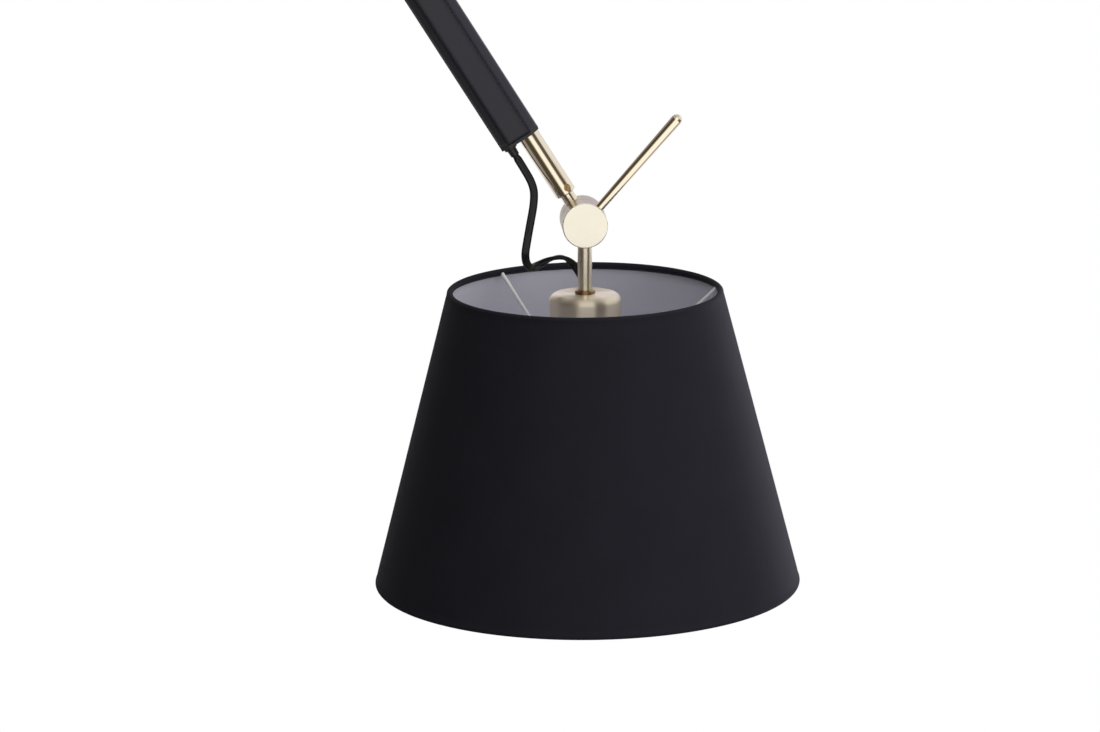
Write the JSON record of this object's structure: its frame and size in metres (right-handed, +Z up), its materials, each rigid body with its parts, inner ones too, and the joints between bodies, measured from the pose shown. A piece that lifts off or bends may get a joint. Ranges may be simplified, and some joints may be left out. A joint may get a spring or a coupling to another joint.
{
  "type": "pendant lamp",
  "caption": "Pendant lamp on a ceiling swivel, with a leaning arm between disc joints, a lever by the lower joint and a tapered fabric shade.",
  "frame": {"origin": "centre of the ceiling plate's upper face, on the swivel's axis", "axes": "+Z up to the ceiling along the swivel's axis, the lamp below; +X from the ceiling fixing towards the shade at rest; the hinges turn about +Y, and the arm's plane lies on the +Y side of the stems"},
  "size_m": [0.5026, 0.3016, 0.8244],
  "materials": {
    "brass_satin": "satin, fine turned brush marks",
    "brass_polished": "polished and lacquered",
    "brass_raw": "plain",
    "arm_black": "satin black anodised extrusion",
    "canopy_black": "satin black",
    "steel": "zinc plated",
    "black_plastic": "moulded, fine grain",
    "white_plastic": "moulded",
    "washer_white": "smooth",
    "cable_black": "soft satin sheath",
    "wire_white": "white powder coat",
    "shade_lining": "matt film on the inside of the shade",
    "shade_cloth": "fine plain weave, rolled hems"
  },
  "bodies": {
    "ceiling": {"ceiling_plate": "steel", "mount_bridge": "steel", "canopy": "canopy_black", "canopy_screws": "steel", "swivel_bush": "canopy_black", "swivel_bush_nut": "steel", "swivel_stop_pin": "steel", "terminal_block": "white_plastic", "inlet_grommet": "black_plastic", "ceiling_lead": "cable_black"},
    "swivel": {"swivel_stem": "brass_polished", "swivel_stop_washer": "steel", "swivel_spring": "steel", "swivel_nut": "steel", "swivel_lead": "cable_black", "lift_hub_front": "brass_satin", "lift_hub_front_cap": "brass_satin", "lift_pivot": "brass_polished", "lift_disc_spring": "steel", "lift_pivot_nut": "steel"},
    "arm": {"lift_hub_rear": "brass_satin", "lift_hub_rear_cap": "brass_satin", "lift_friction_washer": "washer_white", "upper_rod": "brass_polished", "upper_sleeve": "brass_polished", "upper_end_plug": "black_plastic", "arm_profile": "arm_black", "lower_end_plug": "black_plastic", "end_plug_screws": "steel", "lower_rod": "brass_polished", "lower_sleeve": "brass_polished", "sleeve_set_screws": "brass_raw", "cable_gland": "black_plastic", "arm_lead": "cable_black", "lamp_cable": "cable_black", "tilt_hub_rear": "brass_satin", "tilt_hub_rear_cap": "brass_satin", "tilt_friction_washer": "washer_white"},
    "head": {"tilt_hub_front": "brass_satin", "tilt_hub_front_cap": "brass_satin", "tilt_pivot": "brass_polished", "tilt_disc_spring": "steel", "tilt_pivot_nut": "steel", "tilt_lever": "brass_polished", "head_stem": "brass_polished", "socket_cup": "brass_satin", "cup_nut": "steel", "cable_grommet": "black_plastic", "socket_lead": "cable_black", "lampholder_body": "white_plastic", "lampholder_screw_shell": "brass_raw", "lampholder_contact": "brass_raw", "shade_clamp_ring": "white_plastic", "shade_fitter_ring": "wire_white", "shade_spokes": "wire_white", "shade_top_ring": "wire_white", "shade_bottom_ring": "wire_white", "shade_backing": "shade_lining", "shade_fabric": "shade_cloth"}
  },
  "joints": [
    {"name": "swivel_turn", "type": "hinge", "parent": "ceiling", "child": "swivel", "pos_m": [0, 0, 0], "axis": [0, 0, 1], "range_deg": [-165, 165]},
    {"name": "arm_lift", "type": "hinge", "parent": "swivel", "child": "arm", "pos_m": [0, 0, -0.085], "axis": [0, 1, 0], "range_deg": [-40, 31.7]},
    {"name": "head_tilt", "type": "hinge", "parent": "arm", "child": "head", "pos_m": [0.29679, 0, -0.56554], "axis": [0, 1, 0], "range_deg": [-55, 55], "deforming": ["lamp_cable"]}
  ]
}
